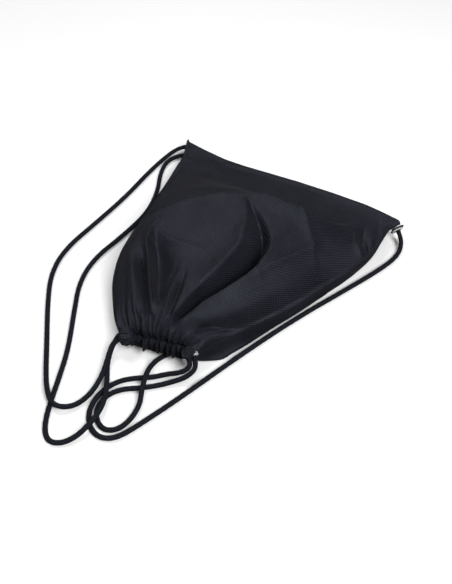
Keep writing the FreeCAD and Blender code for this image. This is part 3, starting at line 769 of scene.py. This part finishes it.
def make_points():
    """The front and back panels' grids, folds included, in millimetres."""
    along_rows = row_places()
    rows = len(along_rows)
    across_line = np.linspace(0, 1, ACROSS)
    across_line = 0.5 - 0.5 * np.cos(math.pi * across_line) * 0.35 + (across_line - 0.5) * 0.65
    across_line = (across_line - across_line[0]) / (across_line[-1] - across_line[0])
    along, across = np.meshgrid(along_rows, across_line, indexing="ij")
    along, across = along.ravel(), across.ravel()
    base = front_base(across, along)
    lift = np.zeros(len(base))
    for name, line in FOLDS.items():
        lift += fold_height(base, line, CRISP if name in SHARP else BROAD)
    seam_fade = np.clip(np.minimum(across, 1 - across) / 0.03, 0, 1) * np.clip(along / 0.5, 0, 1)
    normal = grid_normals(base, rows, ACROSS)
    pleats = pleat_phases()
    folds = pinch_set()
    tight = np.interp(along, [10.8, 11.5, MOUTH], [0.0, 0.8, 1.3])
    gather = tight * pleat_lift(across, along, pleats) + pinch_lift(across, along, folds)
    lean = np.stack([normal[:, 0] * 0.5, normal[:, 1] * 0.5, 0.4 + 0.6 * normal[:, 2]], axis=1)
    fade = seam_fade * np.interp(along, [11.2, MOUTH], [1.0, 0.3])
    front = base + lean * (lift * fade)[:, None]
    front += normal * (gather * seam_fade)[:, None]
    # the cinch line's groove
    groove = 5.2 * np.exp(-((along - MOUTH) / 0.2) ** 2)
    front -= normal * (groove * seam_fade)[:, None]

    left = spaced([row[0] for row in ROWS], along)
    right = spaced([row[1] for row in ROWS], along)
    under = spaced(UNDER, along)
    over = right - left
    over[:, 2] = 0
    over /= np.linalg.norm(over, axis=1)[:, None]
    wall = WALL_SHARE
    floor_left = left + over * under[:, 0:1]
    floor_right = right - over * under[:, 1:2]
    floor_left[:, 2] = under[:, 2]
    floor_right[:, 2] = under[:, 2]
    tilt = np.clip(1 - along / 1.0, 0, 1)
    floor_left[:, 2] += tilt * (left[:, 2] - 0.7 - floor_left[:, 2])
    floor_right[:, 2] += tilt * (right[:, 2] - 0.7 - floor_right[:, 2])
    middle = (across - wall) / (1 - 2 * wall)
    back = floor_left + (floor_right - floor_left) * middle[:, None]
    on_left = across < wall
    on_right = across > 1 - wall
    back[on_left] = quarter_turn(left, floor_left, across / wall)[on_left]
    back[on_right] = quarter_turn(right, floor_right, (1 - across) / wall)[on_right]
    back = sway(back, across, along)

    # the hem's free edge, which falls from the cinch line and curls under
    pleat_row = pleat_lift(across_line, np.zeros(ACROSS), pleats)
    line = front.reshape(rows, ACROSS, 3)[-1]
    under_line = back.reshape(rows, ACROSS, 3)[-1]
    low = np.interp(across_line, [0, 0.12, 0.3, 0.55, 0.8, 1], [14, 11, 8, 5, 5, 8])
    crimp = 0.5 * pinch_lift(across_line, np.full(ACROSS, MOUTH), folds)
    inward = np.clip(np.minimum(across_line, 1 - across_line) / 0.06, 0, 1)
    front_rows = [front.reshape(rows, ACROSS, 3)]
    back_rows = [back.reshape(rows, ACROSS, 3)]
    for number in range(1, FRILL + 1):
        f = number / FRILL
        swing = math.sin(math.pi * min(f * 1.05, 1.0))
        reach = (1.0 + 5.5 * swing) * (0.35 + 0.65 * inward) + 1.9 * pleat_row * min(1.0, 3 * f) * inward
        reach += crimp * (1 - 0.6 * f) * inward
        fall = 0.5 - 0.5 * math.cos(math.pi * min(1.0, f * 1.02))
        drop = (line[:, 2] - low - 1.6 * pleat_row * inward) * fall
        ring = line + OUT[None, :] * reach[:, None]
        ring[:, 2] -= drop
        front_rows.append(ring[None])
        ring = under_line + OUT[None, :] * (-3.0 * f * inward)[:, None]
        ring[:, 2] = np.minimum(ring[:, 2], low - 2.5) * (1 - 0.15 * f)
        back_rows.append(ring[None])
    front = np.concatenate(front_rows).reshape(-1, 3)
    back = np.concatenate(back_rows).reshape(-1, 3)
    flat_v = STEP * np.repeat(np.arange(rows + FRILL), ACROSS)
    flat_u = np.tile(across_line, rows + FRILL) * FLAT_WIDTH
    return front, back, rows, np.stack([flat_u, flat_v], axis=1) * MM


def grid_faces(rows, flip=False):
    faces = []
    for row in range(rows - 1):
        for column in range(ACROSS - 1):
            a = row * ACROSS + column
            quad = (a, a + ACROSS, a + ACROSS + 1, a + 1)
            faces.append(quad[::-1] if flip else quad)
    return faces


SETTLE_FRAMES = 24
MOST_MOVE = 3.5


def settle(points, rows, hold, keep):
    """The front panel as slack cloth, held at its seams and mouth, settles under slight pressure.

    hold pins points in the simulation, and keep says how far each one stays as it was.
    """
    obj = smooth_mesh("settling", points * MM, grid_faces(rows), [])
    group = obj.vertex_groups.new(name="hold")
    for number, weight in enumerate(hold):
        if weight > 0.001:
            group.add([number], float(weight), "REPLACE")
    modifier = obj.modifiers.new("cloth", "CLOTH")
    setup = modifier.settings
    setup.quality = 7
    setup.mass = 0.12
    setup.tension_stiffness = 20
    setup.compression_stiffness = 20
    setup.shear_stiffness = 6
    setup.bending_stiffness = 0.05
    setup.air_damping = 2.0
    setup.vertex_group_mass = "hold"
    setup.pin_stiffness = 1.0
    setup.shrink_min = -0.012
    setup.use_pressure = True
    setup.uniform_pressure_force = 0.12
    setup.effector_weights.gravity = 0.25
    modifier.collision_settings.use_collision = False
    modifier.collision_settings.use_self_collision = False
    scene = bpy.context.scene
    scene.frame_start, scene.frame_end = 1, SETTLE_FRAMES
    modifier.point_cache.frame_start, modifier.point_cache.frame_end = 1, SETTLE_FRAMES
    for number in range(1, SETTLE_FRAMES + 1):
        scene.frame_set(number)
    graph = bpy.context.evaluated_depsgraph_get()
    result = obj.evaluated_get(graph).to_mesh()
    settled = np.empty(len(points) * 3)
    result.vertices.foreach_get("co", settled)
    settled = settled.reshape(-1, 3) / MM
    bpy.data.objects.remove(obj)
    scene.frame_set(1)
    move = settled - points
    far = np.linalg.norm(move, axis=1)
    print("cloth settled: mean move %.2f mm, most %.2f mm" % (far.mean(), far.max()))
    capped = np.tanh(far / MOST_MOVE) * MOST_MOVE / np.maximum(far, 1e-9)
    move *= (capped * (1 - keep))[:, None]
    return points + move


def lift_over_cords(back, lines):
    """The underside rides over the cords that lie beneath it."""
    for line in lines.values():
        path = even(line, 0.004)[0] / MM
        gap = np.full(len(back), 1e9)
        height = np.zeros(len(back))
        for point in path:
            away = np.hypot(back[:, 0] - point[0], back[:, 1] - point[1])
            closer = away < gap
            gap[closer] = away[closer]
            height[closer] = point[2]
        need = height + 3.6 * np.sqrt(np.clip(1 - (gap / 9.0) ** 2, 0, 1)) - 3.0 * (gap > 9)
        low = (gap < 9) & (back[:, 2] < need) & (back[:, 2] > height - 4)
        back[low, 2] = need[low]
    return back


def finish_cloth(obj, thick=0.0005):
    """Gives cloth its thickness and one smoothing step."""
    shell = obj.modifiers.new("thickness", "SOLIDIFY")
    shell.thickness = thick
    shell.offset = -1.0
    smooth = obj.modifiers.new("smooth", "SUBSURF")
    smooth.levels = 1
    smooth.render_levels = 1


def seam_tube(name, points, radius, mat, node):
    """A folded seam along a line of the cloth, in millimetres."""
    curve = bpy.data.curves.new(name, "CURVE")
    curve.dimensions = "3D"
    spline = curve.splines.new("POLY")
    spline.points.add(len(points) - 1)
    for knot, (x, y, z) in zip(spline.points, points):
        knot.co = (x * MM, y * MM, z * MM, 1)
    curve.bevel_depth = radius * MM
    curve.bevel_resolution = 3
    curve.materials.append(mat)
    obj = new_object(name, curve)
    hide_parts(node)
    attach(obj, "root")
    return obj


ACROSS_MOUTH = Vector((0.951, 0.309, 0.0))
OUT_OF_MOUTH = Vector(OUT)
UP = Vector((0, 0, 1))
NECK = Vector((12.0, -138.6, 0.0))


def turned_axes(face, up):
    """Three unit axes: local Z along face, local Y as near to up as it can be."""
    z_axis = face.normalized()
    y_axis = (up - z_axis * up.dot(z_axis)).normalized()
    return y_axis.cross(z_axis), y_axis, z_axis


# How much cloth one step of a small sheet's grid stands for, in metres.
UV_STEP = 0.0011


def sheet_piece(name, verts, columns, mat, node, close=False):
    """A smooth piece of cloth from a grid of points in millimetres, in rows of the given length."""
    rows = len(verts) // columns
    faces = []
    for row in range(rows - 1):
        for column in range(columns if close else columns - 1):
            a, b = row * columns + column, row * columns + (column + 1) % columns
            faces.append((a, b, b + columns, a + columns))
    uv = np.array([(column * UV_STEP, row * UV_STEP) for row in range(rows) for column in range(columns)])
    obj = smooth_mesh(name, np.array(verts) * MM, faces, [mat], uv)
    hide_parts(node)
    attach(obj, "root")
    return obj


def hem_end(name, node, centre, face, up, spread, mat):
    """The hem's gathered end, which wraps over a mouth eyelet from behind."""
    x_axis, y_axis, z_axis = turned_axes(face, up)
    outline = [(3.5, -11.0), (7.0, -8.0), (9.2, -4.0), (10.2, 0.0), (10.1, 1.6), (9.4, 2.6), (8.2, 2.7)]
    columns, rows = 61, 25
    verts = []
    for row in range(rows):
        along = row / (rows - 1)
        radius, axial = spaced(outline, np.array([along * (len(outline) - 1)]))[0]
        for column in range(columns):
            side = 2 * column / (columns - 1) - 1
            angle = math.radians(spread) * side
            lean = along * (abs(side) ** 2.5)
            wrinkle = 0.9 * math.sin(7.0 * angle + 3.5 * along)
            wrinkle += 0.9 * math.sin(17.0 * angle + 1.3 - 3 * along)
            reach = radius + wrinkle * min(1.0, 2.5 * along) * (1 - 0.5 * along)
            reach += 3.2 * max(0.0, along - 0.72) / 0.28 * abs(side) ** 2
            height = axial - 3.6 * lean
            out = x_axis * (reach * math.sin(angle)) + y_axis * (reach * math.cos(angle))
            verts.append(centre + out + z_axis * height)
    obj = sheet_piece(name, verts, columns, mat, node)
    finish_cloth(obj, 0.0006)
    return obj


def make_hem_ends(mat):
    left = NECK + ACROSS_MOUTH * -42.8 + OUT_OF_MOUTH * 10.5 + UP * 23.5
    right = NECK + ACROSS_MOUTH * 37.5 + OUT_OF_MOUTH * 18.5 + UP * 23.5
    left_face = ACROSS_MOUTH * -0.96 + OUT_OF_MOUTH * 0.12 - UP * 0.25
    right_face = ACROSS_MOUTH * 0.62 + OUT_OF_MOUTH * 0.70 - UP * 0.36
    hem_end("left_hem_end", "left_mouth_patch", left, left_face, OUT_OF_MOUTH * 0.75 + UP * 0.65, 120, mat)
    hem_end("right_hem_end", "right_mouth_patch", right, right_face, UP - ACROSS_MOUTH * 0.45, 52, mat)


# One stitch's rings: place along it, share of its radius, how far the ring sinks into the cloth.
STITCH_RINGS = ((0, 0.2, 0.35), (0.15, 0.9, 0.0), (0.5, 1.0, -0.08), (0.85, 0.9, 0.0), (1, 0.2, 0.35))
DASH, DASH_GAP, THREAD_RADIUS = 2.4, 1.1, 0.24


def stitch_run(name, path, mat):
    """A run of thread stitches along a line in millimetres; each one dips into the cloth at its ends."""
    line, at = even(np.asarray(path, float), 0.4)
    sides = 6
    verts, faces = [], []
    count = int(at[-1] / (DASH + DASH_GAP))
    for number in range(count):
        start = number * (DASH + DASH_GAP) + DASH_GAP / 2
        base = len(verts)
        for f, size, sink in STITCH_RINGS:
            here = np.array([np.interp(start + f * DASH, at, line[:, k]) for k in range(3)])
            ahead = np.array([np.interp(start + f * DASH + 0.3, at, line[:, k]) for k in range(3)])
            tangent = (ahead - here) / max(np.linalg.norm(ahead - here), 1e-6)
            side = np.cross(tangent, (0, 0, 1.0))
            side /= max(np.linalg.norm(side), 1e-6)
            top = np.cross(side, tangent)
            for k in range(sides):
                turn = 2 * math.pi * k / sides
                out = side * math.cos(turn) + top * math.sin(turn)
                verts.append(here + out * THREAD_RADIUS * size - top * sink)
        faces += ring_faces(base, len(STITCH_RINGS), sides)
    obj = smooth_mesh(name, np.array(verts) * MM, faces, [mat])
    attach(obj, "root")


# Each tab: its centre, the way its face looks, and the way it hangs; then its half width, its
# hole's radius and its half thickness.
TABS = {
    "left": ((-169, 175, 9.4), (-0.85, -0.5, -0.11), (0, 0, -1)),
    "right": ((166, 172.6, 16.8), (0.78, -0.5, -0.38), (-0.2, 0.38, -0.9)),
}


TAB_HALF, TAB_HOLE, TAB_THICK = 8.5, 4.6, 1.1


def make_tabs(mat, sewing):
    """Webbing tabs: rounded at the corners, holed for the eyelet, stitched at the bag's end."""
    for side, (centre, face, hangs) in TABS.items():
        centre, face, hangs = Vector(centre), Vector(face), Vector(hangs)
        z_axis = face.normalized()
        y_axis = z_axis.cross(hangs).normalized()
        x_axis = y_axis.cross(z_axis)
        columns, rings = 72, 9
        verts = []
        for layer in (1, -1):
            for ring in range(rings):
                f = ring / (rings - 1) if layer == 1 else 1 - ring / (rings - 1)
                for column in range(columns):
                    turn = 2 * math.pi * column / columns
                    power = (abs(math.cos(turn)) ** 7 + abs(math.sin(turn)) ** 7) ** (1 / 7)
                    reach = TAB_HOLE + (TAB_HALF / power - TAB_HOLE) * f
                    x = reach * math.cos(turn)
                    y = reach * math.sin(turn)
                    high = TAB_THICK * math.sqrt(max(0.0, 1 - f ** 9)) * layer
                    ripple = 0.25 * math.sin(0.5 * x + 1.0) + 0.2 * math.sin(0.4 * y + 0.5)
                    verts.append(centre + x_axis * x + y_axis * y + z_axis * (high + ripple * f))
        node = side + "_corner_tab"
        tab = sheet_piece(side + "_webbing_tab", verts, columns, mat, node, close=True)
        smooth = tab.modifiers.new("smooth", "SUBSURF")
        smooth.levels = smooth.render_levels = 1
        square = [(-7.2, -6.6), (-7.2, 6.6), (7.0, 6.6), (7.0, -6.6), (-7.2, -6.6)]
        path = []
        per_side = 12
        for (x0, y0), (x1, y1) in zip(square, square[1:]):
            for step in range(per_side):
                f = step / per_side
                across = x_axis * (x0 + (x1 - x0) * f) + y_axis * (y0 + (y1 - y0) * f)
                path.append(centre + across + z_axis * 1.3)
        stitch_run(side + "_tab_stitches", [tuple(point) for point in path], sewing)


# The two halves of each panel, and the rows at the mouth that the simulation holds and that it
# moves less and less.
PARTS = (("panel_cloth", "_panel"), ("mouth_ruffle", "_hem_channel"))
HELD_ROWS, EASED_ROWS = 24, 66


def make_bag(lines, cloth, sewing):
    front, back, rows, uv = make_points()
    total = rows + FRILL
    grid_across = np.tile(np.linspace(0, 1, ACROSS), total)
    row_number = np.repeat(np.arange(total), ACROSS)
    edge = np.minimum(grid_across, 1 - grid_across)
    hold = np.clip(1 - edge / 0.012, 0, 1)
    hold = np.maximum(hold, np.clip(1 - row_number / 2.0, 0, 1))
    hold = np.maximum(hold, np.clip((row_number - (rows - HELD_ROWS)) / 6.0, 0, 1))
    keep = np.clip((row_number - (rows - EASED_ROWS)) / 40.0, 0, 1)
    keep = keep * keep * (3 - 2 * keep)
    for name in ("valley", "pocket_groove", "left_groove"):
        depth = -fold_height(front, FOLDS[name], BROAD)
        keep = np.maximum(keep, np.clip(depth / 9.0, 0, 1))
    front = settle(front, total, hold, keep)
    back = lift_over_cords(back, lines)
    # the panel ends on the row where its ruffle starts
    spans = ((0, rows), (rows - 1, total))
    for name, points in (("front", front), ("back", back)):
        for (part, target), (low, high) in zip(PARTS, spans):
            chosen = slice(low * ACROSS, high * ACROSS)
            flip = name == "back"
            faces = grid_faces(high - low, flip)
            obj = smooth_mesh(name + "_" + part, points[chosen] * MM, faces, [cloth], uv[chosen])
            finish_cloth(obj)
            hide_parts(name + target)
            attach(obj, "root")
            if part == "panel_cloth":
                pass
            elif name == "front":
                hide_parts(*HEM_RUNS)
    fronts = front.reshape(total, ACROSS, 3)
    seam_tube("bottom_seam_fold", fronts[0, ::2] - np.array([0, 0, 0.4]), 0.9, cloth, "bottom_seam")
    seam_tube("left_seam_fold", fronts[:rows:2, 0], 0.6, cloth, "left_side_seam")
    seam_tube("right_seam_fold", fronts[:rows:2, -1], 0.6, cloth, "right_side_seam")
    rise = np.array([0, 0, 0.35])
    stitch_run("bottom_stitches", fronts[3, 4:-4] + rise, sewing)
    stitch_run("left_stitches", fronts[4 : rows - HELD_ROWS, 4] + rise, sewing)
    stitch_run("right_stitches", fronts[4 : rows - HELD_ROWS, -5] + rise, sewing)


# ---------------------------------------------------------------- build
make_camera()
make_floor()
make_lights()
CLOTH = nylon("navy_nylon", (0.0012, 0.0013, 0.0024), (0.0360, 0.0374, 0.0540))
ROPE = braid("braided_cord")
TAPE = webbing("black_webbing")
METAL = nickel("nickel_plate")
LINES = make_cords(ROPE, make_knots(ROPE))
SEWING = thread("sewing_thread")
make_bag(LINES, CLOTH, SEWING)
make_hem_ends(CLOTH)
make_tabs(TAPE, SEWING)

for name, node in NODES.items():
    if "eyelet" in name or "washer" in name:
        look = METAL
    elif "corner_tab" in name:
        look = TAPE
    elif "cord" in name:
        look = ROPE
    else:
        look = CLOTH
    node.data.materials.clear()
    node.data.materials.append(look)
